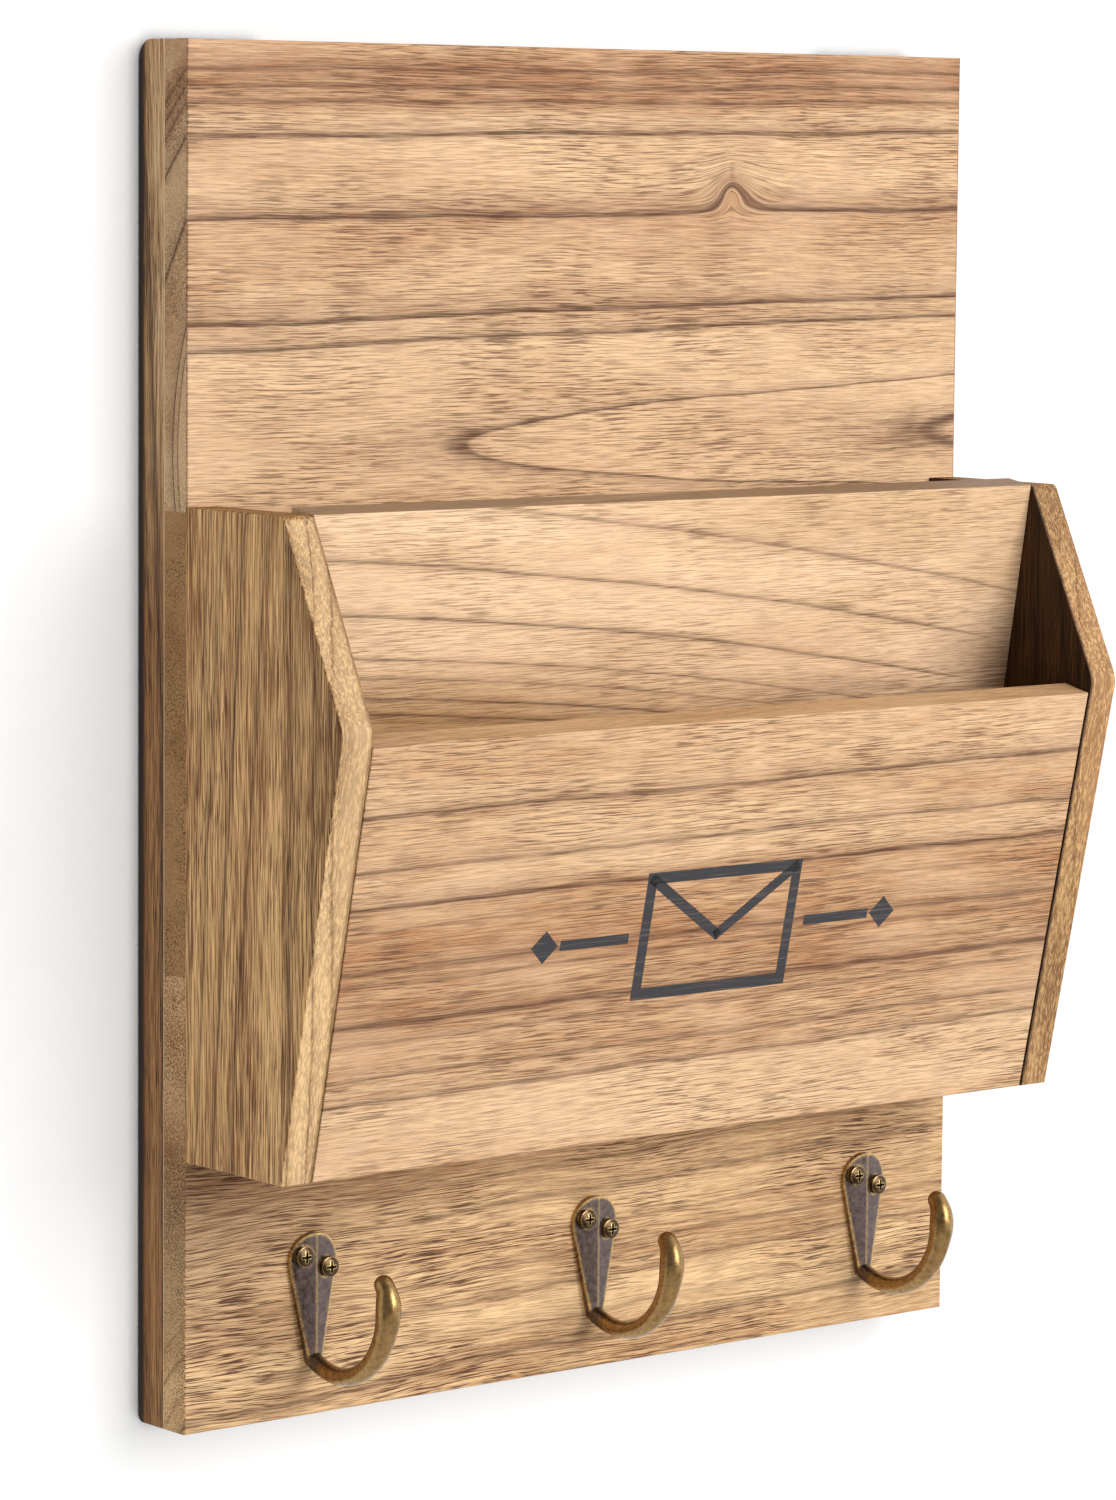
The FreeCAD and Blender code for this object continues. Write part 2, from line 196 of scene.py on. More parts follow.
# %% [markdown]
# ## One dark year
# Each year ends in a thin line of dark late wood, sharper on one side than on the other, with a faint
# shade of oil round it. The line could be painted on, but a step in the distance from the pith can't
# come out of line with the grain, so each year is this small group, and the darkest of them wins.

# %% One dark year as a group
HALO_AFTER, HALO_BEFORE = 0.25, 0.4  # how fast the faint shade round a line ends, to the line's own 1
HALO_DARK = 0.34

year_group, year_in, year_out = new_group(
    "dark year", {"Radius": "Float", "Year": "Float", "Dark": "Float", "Before": "Float",
                  "After": "Float", "Others": "Float"}, {"Late Wood": "Float"})
tree = year_group
away = minus(tree, year_in["Radius"], year_in["Year"])
outside = maths(tree, "DIVIDE", away, year_in["After"])
inside = maths(tree, "DIVIDE", away, times(tree, year_in["Before"], -1.0))
step = spread(tree, larger(tree, outside, inside), 1.0, 0.0)
halo = larger(tree, times(tree, outside, HALO_AFTER), times(tree, inside, HALO_BEFORE))
halo = times(tree, spread(tree, halo, 1.0, 0.0), HALO_DARK)
step = times(tree, larger(tree, step, halo), year_in["Dark"])
tree.links.new(larger(tree, step, year_in["Others"]), year_out["Late Wood"])
print("dark year group:", len(tree.nodes), "nodes")

# %% [markdown]
# ## The face of paulownia
# Paulownia is a pale tan, ring-porous wood. Three things show on it: slow bands of paler, pinker and
# browner wood, short dark pore dashes drawn out along the grain, and the late wood lines. Where the
# saw cut across the grain the same pores are only dots and the oil sinks in, so the end is darker. The
# end is found from the way the surface faces, compared with the grain.

# %% The timber as a group, and its noises
wood_group, wood_in, wood_out = new_group(
    "oiled timber",
    {"Grain": "Vector", "Tone": "Float", "Late Wood": "Float", "End": "Float", "Pale": "Color",
     "Brown": "Color", "Line": "Color", "End Tint": "Color", "Pores": "Float", "Figure": "Float",
     "Pink": "Float"},
    {"Colour": "Color", "Roughness": "Float", "Height": "Float"})
tree = wood_group
bands = drawn_noise(tree, wood_in["Grain"], (0.007, 0.06, 0.06), 2.0)
streaks = drawn_noise(tree, wood_in["Grain"], (0.04, 1.25, 1.25), 3.0, 0.7)
patches = drawn_noise(tree, wood_in["Grain"], (0.018, 0.045, 0.045), 3.0)
dashes = drawn_noise(tree, wood_in["Grain"], (0.075, 2.5, 2.5), 2.0, 0.6)
threads = drawn_noise(tree, wood_in["Grain"], (0.12, 5.0, 5.0), 1.0, 0.6)
print("timber noises:", len(tree.nodes), "nodes")

# %% From pale to dark
BAND_TONE, PATCH_TONE, STREAK_TONE = 1.1, -0.4, 1.5  # what each noise adds to the tone
ROSY = chart(236, 194, 156)
THREAD_DARK = 0.34

tone = plus(tree, wood_in["Tone"], times(tree, minus(tree, bands, 0.5), BAND_TONE))
tone = plus(tree, tone, times(tree, minus(tree, patches, 0.5), PATCH_TONE))
swing = times(tree, minus(tree, streaks, 0.5), STREAK_TONE)
tone = plus(tree, tone, times(tree, swing, wood_in["Figure"]))
tone = node(tree, "Clamp", i0=tone).outputs[0]
colour = blend_colour(tree, tone, wood_in["Pale"], wood_in["Brown"])
rosy = times(tree, spread(tree, patches, 0.48, 0.66), wood_in["Pink"])
colour = blend_colour(tree, rosy, colour, ROSY)
thread = times(tree, spread(tree, threads, 0.45, 0.7), THREAD_DARK)
colour = blend_colour(tree, thread, colour, wood_in["Line"])
crowd = spread(tree, patches, 0.62, 0.4, 0.35, 1.0)
opened = times(tree, spread(tree, dashes, 0.5, 0.59), wood_in["Pores"])
colour = blend_colour(tree, times(tree, opened, crowd), colour, wood_in["Line"])
late = times(tree, wood_in["Late Wood"], spread(tree, dashes, 0.35, 0.6, 0.78, 1.0))
late = times(tree, late, spread(tree, streaks, 0.35, 0.6, 0.8, 1.0))
colour = blend_colour(tree, late, colour, wood_in["Line"])
soaked = blend_colour(tree, 1.0, colour, wood_in["End Tint"], "MULTIPLY")
colour = blend_colour(tree, wood_in["End"], colour, soaked)
tree.links.new(colour, wood_out["Colour"])
print("timber colour:", len(tree.nodes), "nodes")

# %% Sheen and open pores
MATT, MATT_STREAKS, MATT_END = 0.4, 0.2, 0.15
THREAD_HIGH, PORE_HIGH = 0.8, 0.7  # how deep they are, as shares of the relief

matt = plus(tree, times(tree, streaks, MATT_STREAKS), MATT)
matt = plus(tree, matt, times(tree, wood_in["End"], MATT_END))
tree.links.new(matt, wood_out["Roughness"])
hollow = plus(tree, times(tree, opened, PORE_HIGH), times(tree, thread, THREAD_HIGH))
tree.links.new(minus(tree, 1.0, hollow), wood_out["Height"])
print("timber group:", len(tree.nodes), "nodes")

# %% [markdown]
# ## A board's own material
# Each board is given the way its grain runs, where its pith was, and a short list of its dark years:
# where each comes to the face, how dark it is, and how softly it starts and stops. A second list gives
# the broad tones between them. Both follow the rings. The coordinates are turned with the board, so
# the leaning boards keep their grain in their own plane. Four more lists add what rings can't give: a
# smudge is a dark place in the wood, and some smudges are painted shade inside the pocket; a stain
# changes the tone towards one face, and on the pocket sides and battens some stains are painted shade
# and one is a painted highlight; the burn is the dark line along the ends of a front face, and the
# edge is the paler or browner tone of a sawn edge.

# %% Which way the grain of a board runs
LEAN = math.radians(12.25)
DIVIDER_LEAN = math.atan2(27.5, 167.0)
QUARTER = math.radians(90)
LYING = (-QUARTER, 0, 0)
LEANING = (-QUARTER - LEAN, 0, 0)
DIVIDER = (-QUARTER - DIVIDER_LEAN, 0, 0)
FLAT = (0, 0, 0)
STANDING = (0, QUARTER, 0)
OIL = dict(Pale=chart(240, 202, 158), Brown=chart(178, 124, 84), Line=chart(86, 52, 34),
           End_Tint=chart(222, 216, 198), Pores=0.7, Figure=0.95, Pink=0.3)
print("leans", round(math.degrees(LEAN), 2), "and", round(math.degrees(DIVIDER_LEAN), 2), "degrees")

# %% Broad tones and late wood
ALL_THROUGH = 1e4  # mm, for a smudge that goes through the whole board


def tone_ramp(tree, radius, tones):
    """The broad tone between the dark years, as a soft ramp over the distance from the pith."""
    tones = sorted(tones)
    low, high = tones[0][0], tones[-1][0]
    ramp = node(tree, "ValToRGB", i0=node(tree, "MapRange", i0=radius, i1=low, i2=high).outputs[0])
    ramp.color_ramp.interpolation = "EASE"
    stops = ramp.color_ramp.elements
    for at, tone in tones[1:-1]:
        stops.new((at - low) / (high - low)).color = (tone, tone, tone, 1)
    for stop, tone in ((stops[0], tones[0][1]), (stops[-1], tones[-1][1])):
        stop.color = (tone, tone, tone, 1)
    return ramp.outputs[0]


def late_wood(tree, rings, rows, smudges_and_shade):
    """How much late wood there is: the darkest of the years and of the dark spots, some of them painted
    shade.
    """
    late = 0.0
    for at, dark, before, after in rows:
        late = use_group(tree, year_group, Radius=rings["Radius"], Year=at, Dark=dark,
                         Before=before, After=after, Others=late).outputs[0]
    for centre, reach, dark in smudges_and_shade:
        off = node(tree, "VectorMath", {"operation": "SUBTRACT"}, i0=rings["Grain"],
                   i1=(*centre, 0)[:3])
        off = node(tree, "VectorMath", {"operation": "DIVIDE"}, i0=off.outputs[0],
                   i1=(*reach, ALL_THROUGH)[:3])
        off = node(tree, "VectorMath", {"operation": "LENGTH"}, i0=off.outputs[0]).outputs["Value"]
        late = larger(tree, late, times(tree, spread(tree, off, 1.0, 0.0), dark))
    return late


print("a smudge without a depth goes through", ALL_THROUGH, "mm")

# %% Material helpers
def new_material(name):
    """A new material, its node tree and its shader."""
    made = bpy.data.materials.new(name)
    made.use_nodes = True
    return made, made.node_tree, made.node_tree.nodes["Principled BSDF"]


def surface(tree, shader, colour, roughness, height, depth, strength):
    """Links a finished surface to the shader. Its relief, which is the depth high, is bump."""
    tree.links.new(colour, shader.inputs["Base Color"])
    tree.links.new(roughness, shader.inputs["Roughness"])
    bump = node(tree, "Bump", Height=height, Distance=depth, Strength=strength)
    tree.links.new(bump.outputs[0], shader.inputs["Normal"])


def finish_node(name, material):
    """Puts a material on a construction node."""
    slots = nodes[name].data.materials
    slots.clear()
    slots.append(material)


print("nodes still to dress:", len(nodes))

# %% The board's material
OIL_SHEEN = 0.2
PORE_DEPTH, PORE_STRENGTH = 0.12 * MM, 0.6
BURN_SOFT, BURN_DARK = 0.9, 0.8


def board_material(name, turn, move, pith, years, tones, taper=0.0083, bow=0.0, wander=1.0,
                   knot=(0, 0, 0), loops=(), stains_and_painted_light=(), edge=None, smudges_and_shade=(), burn=None, **look):
    """The oiled timber of one board. Lengths are in mm along, across and through its grain.

    move: where the board's own zero lies, after the turn
    pith: how far across and how deep the heart of the trunk was
    years: across, how dark, how soft before and after; loops: the same, by how far along they end
    tones: across, then the tone; knot: along, across and how far it pushes the rings
    smudges_and_shade: centre, reach and how dark; stains: axis, start, stop, tint and the kind of mixing
    edge: a colour and how much of it; burn: how far along the scorched line starts
    """
    made, tree, shader = new_material(name)
    shader.inputs["Specular IOR Level"].default_value = OIL_SHEEN
    place = node(tree, "TexCoord").outputs
    grain = node(tree, "Mapping", i0=place["Object"], i1=move, i2=turn, i3=(1 / MM,) * 3).outputs[0]
    rings = use_group(tree, ring_group, Grain=grain, Taper=taper, Bow=bow, Wander=wander,
                      Pith_Across=pith[0], Pith_Deep=pith[1], Knot_Along=knot[0],
                      Knot_Across=knot[1], Knot_Push=knot[2]).outputs
    rows = [(math.hypot(across - pith[0], pith[1]), *rest) for across, *rest in years]
    rows += [(pith[1] - taper * tip, *rest) for tip, *rest in loops]
    late = late_wood(tree, rings, rows, smudges_and_shade)
    facing = node(tree, "Mapping", {"vector_type": "VECTOR"}, i0=place["Normal"], i2=turn).outputs[0]
    facing = node(tree, "SeparateXYZ", i0=facing).outputs
    if burn:
        along = maths(tree, "ABSOLUTE", node(tree, "SeparateXYZ", i0=grain).outputs[0])
        scorched = times(tree, spread(tree, along, burn, burn + BURN_SOFT, 0.0, BURN_DARK),
                         spread(tree, facing[2], 0.3, 0.7))
        late = larger(tree, late, scorched)
    tone = tone_ramp(tree, rings["Radius"], [(math.hypot(w - pith[0], pith[1]), t) for w, t in tones])
    end = spread(tree, maths(tree, "ABSOLUTE", facing[0]), 0.6, 0.9)
    timber = use_group(tree, wood_group, Grain=rings["Grain"], End=end, Tone=tone, Late_Wood=late,
                       **{**OIL, **look}).outputs
    colour = timber["Colour"]
    if edge:
        side_on = spread(tree, maths(tree, "ABSOLUTE", facing[1]), 0.7, 0.95, 0.0, edge[1])
        side_on = times(tree, side_on, minus(tree, 1.0, late))
        colour = blend_colour(tree, side_on, colour, edge[0])
    for axis, start, stop, tint, *kind in stains_and_painted_light:
        depth = spread(tree, node(tree, "SeparateXYZ", i0=grain).outputs[axis], start, stop)
        depth = times(tree, depth, spread(tree, facing[1], 0.95, 0.6))
        colour = blend_colour(tree, depth, colour, tint, *kind or ["MULTIPLY"])
    surface(tree, shader, colour, timber["Roughness"], timber["Height"], PORE_DEPTH, PORE_STRENGTH)
    return made


print("pores", PORE_DEPTH / MM, "mm deep")

# %% [markdown]
# ## The three back boards
# The back is edge glued from three boards cut from different planks, so each has its own rings. The
# upper one is flat sawn with its pith in front, which gives the straight lines above, the long loop
# below and the arcs on its end. The lower one is plainer and browner.

# %% The back boards
finish_node("back_top_board", board_material(
    "top board", LYING, (0, 0, -22), pith=(-70, 90),
    years=[(-39.5, 0.9, 0.25, 0.7), (-33.2, 1.0, 0.25, 1.0), (-6.2, 1.0, 0.5, 1.6),
           (16.2, 0.95, 0.7, 1.4), (25.0, 0.7, 0.9, 1.0), (29.0, 0.75, 1.0, 1.2),
           (33.5, 0.7, 0.9, 1.4)],
    tones=[(-70, 0.1), (-60, 0.15), (-45, 0.15), (-30, 0.4), (-8, 0.5), (0, 0.3), (20, 0.25),
           (25, 0.75), (35, 0.85), (41, 0.55)],
    wander=0.65, knot=(51, 2, 7), burn=139.0,
    loops=[(129, 1.0, 0.1, 0.14), (-46, 0.95, 0.03, 0.14)],
    smudges_and_shade=[((51, -1), (2.4, 10), 0.5), ((47, -13), (9, 7), 0.25), ((122, -70), (18, 10), 0.75),
             ((-54, -69), (14, 5), 0.4), ((-85, 29), (45, 8), 0.3)],
    End_Tint=chart(248, 250, 246)))
finish_node("back_middle_board", board_material(
    "middle board", LYING, (40, -150, -22), pith=(-20, 60),
    years=[(w, 0.65, 1.0, 1.0) for w in (-46, -30, -8, 10, 26, 44, 57)],
    tones=[(-60, 0.3), (0, 0.6), (65, 0.3)],
    burn=179.0, Pores=0.8, End_Tint=chart(200, 186, 158)))
finish_node("back_bottom_board", board_material(
    "bottom board", LYING, (90, 260, -22), pith=(-150, 75),
    years=[(-71, 0.75, 1.2, 1.4), (-63, 0.45, 1.0, 1.4), (-53, 0.6, 1.3, 1.4), (-45, 0.55, 1.4, 1.0),
           (-38, 0.4, 1.0, 1.6), (-27, 0.6, 1.4, 1.2), (-18, 0.45, 1.2, 1.2), (-9, 0.6, 1.4, 1.4)],
    tones=[(-76, 0.45), (-60, 0.15), (-45, 0.4), (-30, 0.2), (-10, 0.45), (5, 0.6), (49, 0.5)],
    taper=0.03, wander=1.3, smudges_and_shade=[((-55, -20), (130, 60), 0.62)],
    Pores=0.95, Figure=1.5, Pink=0.0, Pale=chart(252, 212, 160), Brown=chart(164, 112, 68),
    End_Tint=chart(252, 250, 240)))

# %% [markdown]
# ## The pocket
# Divider and front lean outwards and run their grain sideways. The two sides run it upright, so the
# slanted front edges of the sides are cut across the grain and look speckled.

# %% The leaning boards and the floor
finish_node("front_panel", board_material(
    "front panel", LEANING, (0, 241.15, -119.4), pith=(-250, 120),
    years=[(102.5, 0.85, 1.2, 1.6), (88, 0.7, 0.9, 1.3), (77.5, 1.0, 1.0, 1.6), (71, 0.4, 0.8, 1.0),
           (60, 0.7, 1.8, 2.4), (56, 0.6, 1.0, 1.4), (50, 0.4, 0.8, 1.2), (44.5, 0.9, 2.0, 2.0),
           (39, 0.5, 1.2, 1.4), (29, 0.65, 0.9, 1.4), (22.5, 0.7, 1.0, 1.4)],
    tones=[(0, 0.35), (5, 0.1), (20, 0.1), (26, 0.45), (38, 0.55), (48, 0.6), (58, 0.7), (76, 0.62),
           (82, 0.25), (100, 0.4), (105, 0.2), (122, 0.3)],
    taper=0.012, wander=0.7, edge=(chart(178, 136, 90), 0.5), Brown=chart(180, 122, 76)))
# The divider's first smudge is painted shade, where the right side shades its lower right corner.
finish_node("divider_board", board_material(
    "divider", DIVIDER, (0, 241.5, -78.3), pith=(230, 60),
    years=[(160, 0.6, 1.2, 0.5), (144, 0.7, 1.3, 0.5), (130, 0.75, 1.3, 0.5), (119, 0.65, 0.8, 0.4),
           (114, 0.6, 0.7, 0.4), (108.5, 0.8, 0.8, 0.5), (104, 0.8, 1.0, 0.6), (90, 0.8, 1, 1)],
    tones=[(0, 0.7), (100, 0.65), (110, 0.45), (122, 0.15), (140, 0.0), (155, 0.05), (170, 0.35)],
    taper=0.11, bow=0.00025, wander=0.4, edge=(chart(116, 88, 64), 0.8),
    smudges_and_shade=[((140, 112), (56, 36), 1.0), ((112, 107), (48, 5), 0.9), ((60, 112), (60, 7), 0.4)],
    Figure=0.6, Pores=0.5, Pale=chart(252, 214, 172), Brown=chart(184, 140, 88)))
finish_node("pocket_bottom_board", board_material(
    "pocket floor", FLAT, (30, 20, 0), pith=(-60, 80), years=[(-20, 0.6, 1, 1), (0, 0.6, 1, 1)],
    tones=[(-30, 0.5), (30, 0.5)]))
print("leaning boards dressed")

# %% The upright boards
UPRIGHT = dict(Pink=0.0, Pores=0.85, Figure=3.0, Pale=chart(252, 204, 140), Brown=chart(150, 96, 50),
               Line=chart(84, 48, 18), End_Tint=chart(200, 190, 170))
FRONT_UPRIGHT = {**UPRIGHT, "Pale": chart(238, 192, 130), "Brown": chart(138, 90, 46)}
BATTEN_UPRIGHT = {**UPRIGHT, "Pale": chart(255, 216, 162), "Figure": 2.0}
# The inner stain of each row is painted shade on the pocket side's inner face, faint on the left and
# deep on the right. The right row's patches are painted shade inside the pocket as well.
for side, outer_face, sawn, painted_inner_shade, patches in (
        ("left", -140, (chart(240, 206, 158), 0.5), (2, -8.5, -10, chart(190, 178, 164)),
         [((72, 18, 0), (28, 14, 6), 0.5), ((24, 0, 0), (60, 10, 7), 0.45)]),
        ("right", 130, (chart(204, 160, 114), 0.4), (2, -1.5, 0, chart(90, 74, 56)),
         [((84, 20, -5), (34, 30, 20), 0.6), ((-60, 15, -5), (62, 30, 20), 0.7)])):
    finish_node(side + "_side_rear_board", board_material(
        side + " side rear", STANDING, (170, 40, outer_face), pith=(-60, 90),
        years=[(-1.3, 0.9, 0.5, 0.7), (7.3, 0.75, 0.5, 0.7), (-10.5, 0.7, 0.7, 0.5),
               (13, 0.6, 0.6, 0.6)],
        tones=[(-26, 0.2), (-20, 0.45), (-12, 0.6), (-5, 0.3), (2, 0.5), (10, 0.35), (18, 0.6)],
        taper=-0.045, wander=0.8, stains_and_painted_light=[painted_inner_shade], edge=sawn, **UPRIGHT))
    finish_node(side + "_side_front_board", board_material(
        side + " side front", STANDING, (170, 90, outer_face), pith=(60, 70),
        years=[(10.5, 0.7, 0.5, 0.9), (2, 0.6, 1.0, 1.0), (21, 0.6, 1.0, 1.0)],
        tones=[(-2, 0.7), (10, 0.6), (16, 0.35), (25, 0.6)],
        taper=0.0, wander=1.6, stains_and_painted_light=[painted_inner_shade], edge=sawn, smudges_and_shade=patches, **FRONT_UPRIGHT))
    finish_node(side + "_batten", board_material(
        side + " batten", STANDING, (150, 5, outer_face), pith=(20, 60),
        years=[(-5.5, 0.95, 1.2, 0.8), (-1.5, 0.6, 0.3, 0.3), (2.5, 0.5, 0.3, 0.3)],
        tones=[(-7, 0.3), (-3, 0.1), (2, 0.0), (5, 0.2)], taper=-0.012, bow=-0.00004,
        # Of the batten's stains, the first darkens it towards one end and the second darkens it a
        # little towards the wall. The third is painted shadow along the rear corner against the wall,
        # and the fourth is a painted highlight along the eased front edge.
        stains_and_painted_light=[(0, 125, 20, chart(187, 162, 134)), (1, -3, 3.5, chart(206, 186, 156)),
                (1, 1.4, 3.4, chart(66, 54, 44)), (1, -6.6, -6.9, chart(226, 200, 160), "MIX")],
        **BATTEN_UPRIGHT))
print("boards dressed")

# %% [markdown]
# ## Antique brass
# The hooks are cast brass that was darkened in a bath and then rubbed. The bath leaves a purplish brown
# skin, and rubbing takes it off where an edge stands proud, so the bright brass shows along the rim and
# the ridge. An occlusion node that looks inwards finds those edges on any shape. The thin line down
# each plate's ridge is found by its distance from the hook's middle, and is rubbed brass and painted
# highlight in one.

# %% Darkened and rubbed brass as a group
SMOOTH, SMOOTH_MOTTLE, SMOOTH_RUBBED = 0.2, 0.14, 0.08

brass_group, brass_in, brass_out = new_group(
    "darkened brass",
    {"Place": "Vector", "Rubbed": "Float", "Skin": "Color", "Deep": "Color", "Brass": "Color"},
    {"Colour": "Color", "Roughness": "Float", "Height": "Float"})
tree = brass_group
mottle = node(tree, "TexNoise", Vector=brass_in["Place"], Scale=600.0, Detail=3.0, Roughness=0.6)
mottle = spread(tree, mottle.outputs[0], 0.15, 0.8)
grit = node(tree, "TexNoise", Vector=brass_in["Place"], Scale=1500.0, Detail=2.0).outputs[0]
colour = blend_colour(tree, mottle, brass_in["Deep"], brass_in["Skin"])
rubbed = times(tree, brass_in["Rubbed"], spread(tree, grit, 0.3, 0.6, 0.55, 1.0))
colour = blend_colour(tree, rubbed, colour, brass_in["Brass"])
tree.links.new(colour, brass_out["Colour"])
rough = minus(tree, plus(tree, SMOOTH, times(tree, mottle, SMOOTH_MOTTLE)),
              times(tree, rubbed, SMOOTH_RUBBED))
tree.links.new(rough, brass_out["Roughness"])
tree.links.new(plus(tree, mottle, times(tree, grit, 0.6)), brass_out["Height"])
print("brass group:", len(tree.nodes), "nodes")

# %% [markdown]
# ## The hooks and their screws
# On the real hooks the plate keeps its brown skin and the prong, which is handled, is rubbed yellower.
# The change runs outwards from the board, so the material reads how far out a spot is. The screws
# share the brass, but their cross recesses never get rubbed, and an occlusion node paints them dark as
# painted shade.

# %% The brass of hooks and screws
HOOK_MIDDLES = (-97.8, 2.7, 106.6)  # mm across, where the ridge of each hook runs
RIDGE_OUTER, RIDGE_INNER = 0.6 * MM, 0.1 * MM
RIDGE_WEAR_AND_HIGHLIGHT = 0.3
PRONG_STARTS, PRONG_FULL = -26.5 * MM, -31 * MM  # how far out the prong's own colour sets in
# the colour of the painted shade in the screws' cross recesses
RECESS_SHADE = chart(26, 20, 16)


def occlusion(tree, reach, inside):
    """How open a spot is, from 0 to 1. Looking inwards, a proud edge is the open one."""
    made = node(tree, "AmbientOcclusion", {"inside": inside, "only_local": True, "samples": 5},
                Distance=reach)
    return made.outputs["AO"]


def brass_material(name, edge_reach, skin, deep, brass, recess_reach=0.0, prong=None):
    """The cast and darkened brass of a hook or a screw. The prong's skin and deep colours, if it
    has one, take over from the plate's. A recess is darkened by occlusion, as painted shade."""
    made, tree, shader = new_material(name)
    place = node(tree, "TexCoord").outputs["Object"]
    edge = spread(tree, occlusion(tree, edge_reach, True), 0.92, 0.6)
    if prong:
        here = node(tree, "SeparateXYZ", i0=place).outputs
        out = spread(tree, here[1], PRONG_STARTS, PRONG_FULL)
        # The line down each plate's ridge is rubbed brass and a painted highlight in one.
        ridge_wear_and_highlight = 0.0
        for middle in HOOK_MIDDLES:
            off = maths(tree, "ABSOLUTE", minus(tree, here[0], middle * MM))
            ridge_wear_and_highlight = larger(tree, ridge_wear_and_highlight, spread(tree, off, RIDGE_OUTER, RIDGE_INNER))
        ridge_wear_and_highlight = times(tree, ridge_wear_and_highlight, spread(tree, out, 0.5, 0.0, 0.0, RIDGE_WEAR_AND_HIGHLIGHT))
        edge = larger(tree, edge, ridge_wear_and_highlight)
        skin = blend_colour(tree, out, skin, prong[0])
        deep = blend_colour(tree, out, deep, prong[1])
    metal = use_group(tree, brass_group, Place=place, Rubbed=edge, Skin=skin, Deep=deep,
                      Brass=brass).outputs
    colour = metal["Colour"]
    if recess_reach:
        # painted shade: the recess turns dark where the occlusion finds it enclosed
        open_air = spread(tree, occlusion(tree, recess_reach, False), 0.3, 0.75)
        colour = blend_colour(tree, open_air, RECESS_SHADE, colour)
    shader.inputs["Metallic"].default_value = 0.9
    surface(tree, shader, colour, metal["Roughness"], metal["Height"], 0.06 * MM, 0.5)
    return made


hook_brass = brass_material("hook brass", 1.2 * MM, chart(110, 97, 93), chart(76, 63, 59),
                            chart(226, 190, 122), prong=(chart(168, 134, 86), chart(124, 96, 58)))
screw_brass = brass_material("screw brass", 0.4 * MM, chart(88, 70, 50), chart(58, 44, 30),
                             chart(222, 188, 128), recess_reach=0.9 * MM)
for hook in ("left_hook", "middle_hook", "right_hook"):
    finish_node(hook, hook_brass)
    finish_node(hook + "_upper_screw", screw_brass)
    finish_node(hook + "_lower_screw", screw_brass)
print("hooks dressed")

# %% [markdown]
# ## Zinc on the hidden hardware
# The keyhole plates and the wood screws behind the back are mild steel with a thin bright zinc coat,
# which is faintly cloudy and a little warm.

# %% Zinc plated steel
zinc, tree, shader = new_material("zinc plate")
place = node(tree, "TexCoord").outputs["Object"]
cloud = node(tree, "TexNoise", Vector=place, Scale=160.0, Detail=4.0).outputs[0]
rolled = drawn_noise(tree, place, (2500, 300, 120), 2.0)
cloud = spread(tree, cloud, 0.35, 0.65)
colour = blend_colour(tree, cloud, chart(176, 178, 180), chart(208, 208, 204))
shader.inputs["Metallic"].default_value = 1.0
surface(tree, shader, colour, plus(tree, 0.26, times(tree, rolled, 0.2)), rolled, 0.04 * MM, 0.4)
for name in nodes:
    if "hanger" in name or ("screw" in name and "hook" not in name):
        finish_node(name, zinc)
print("zinc on", sum(1 for n in nodes.values() if n.data.materials[0] == zinc), "nodes")

# %% [markdown]
# ## The painted sign
# The front panel carries a small painted sign: a plain envelope with a rule and a lozenge to each side.
# Bars and a frame are laid out flat in the panel's own plane, given the thickness of a coat of paint,
# and only then leaned back onto the wood.

# %% The envelope in flat bars
COAT = 0.09 * MM
COAT_PROUD = 0.85  # how much of the coat stands above the wood
PANEL_FOOT = Vector((0, -65.5, -261)) * MM
SIGN_UP = 60.0  # mm up the panel
ENVELOPE, FRAME = (56, 37), 3.3
FLAP_TURN, FLAP, FLAP_OUT, FLAP_UP = math.atan2(17.5, 25.4), (33.5, 3.0), 13.0, 7.6
RULE, RULE_OUT = (24, 2.9), 44.0
LOZENGE, LOZENGE_OUT = (6.6, 6.6), 61.5
sign = bmesh.new()


def painted_bar(centre, size, turn=0.0):
    """One flat bar of paint, in mm on the panel, and its faces."""
    made = bmesh.ops.create_grid(
        sign, x_segments=1, y_segments=1, size=0.5,
        matrix=Matrix.Translation((centre[0] * MM, centre[1] * MM, 0))
        @ Matrix.Rotation(turn, 4, "Z") @ Matrix.Diagonal((size[0] * MM, size[1] * MM, 1, 1)))
    return list({face for vertex in made["verts"] for face in vertex.link_faces})


body = painted_bar((0, SIGN_UP), ENVELOPE)
bmesh.ops.inset_region(sign, faces=body, thickness=FRAME * MM, use_boundary=True, use_even_offset=True)
bmesh.ops.delete(sign, geom=body, context="FACES_ONLY")
for hand in (-1, 1):
    painted_bar((hand * FLAP_OUT, SIGN_UP + FLAP_UP), FLAP, hand * FLAP_TURN)
    painted_bar((hand * RULE_OUT, SIGN_UP), RULE)
    painted_bar((hand * LOZENGE_OUT, SIGN_UP), LOZENGE, math.radians(45))
bmesh.ops.solidify(sign, geom=sign.faces[:], thickness=COAT)
bmesh.ops.recalc_face_normals(sign, faces=sign.faces[:])
lean_back = Matrix.Rotation(QUARTER + LEAN, 4, "X")
bmesh.ops.transform(sign, matrix=Matrix.Translation(PANEL_FOOT) @ lean_back, verts=sign.verts[:])
outward = Vector((0, -math.cos(LEAN), -math.sin(LEAN)))
highest = max((v.co - PANEL_FOOT).dot(outward) for v in sign.verts)
bmesh.ops.translate(sign, vec=outward * (COAT * COAT_PROUD - highest), verts=sign.verts[:])
sign_mesh = bpy.data.meshes.new("painted_sign")
sign.to_mesh(sign_mesh)
sign.free()
painted_sign = bpy.data.objects.new("painted_sign", sign_mesh)
bpy.context.scene.collection.objects.link(painted_sign)
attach(painted_sign, "root")
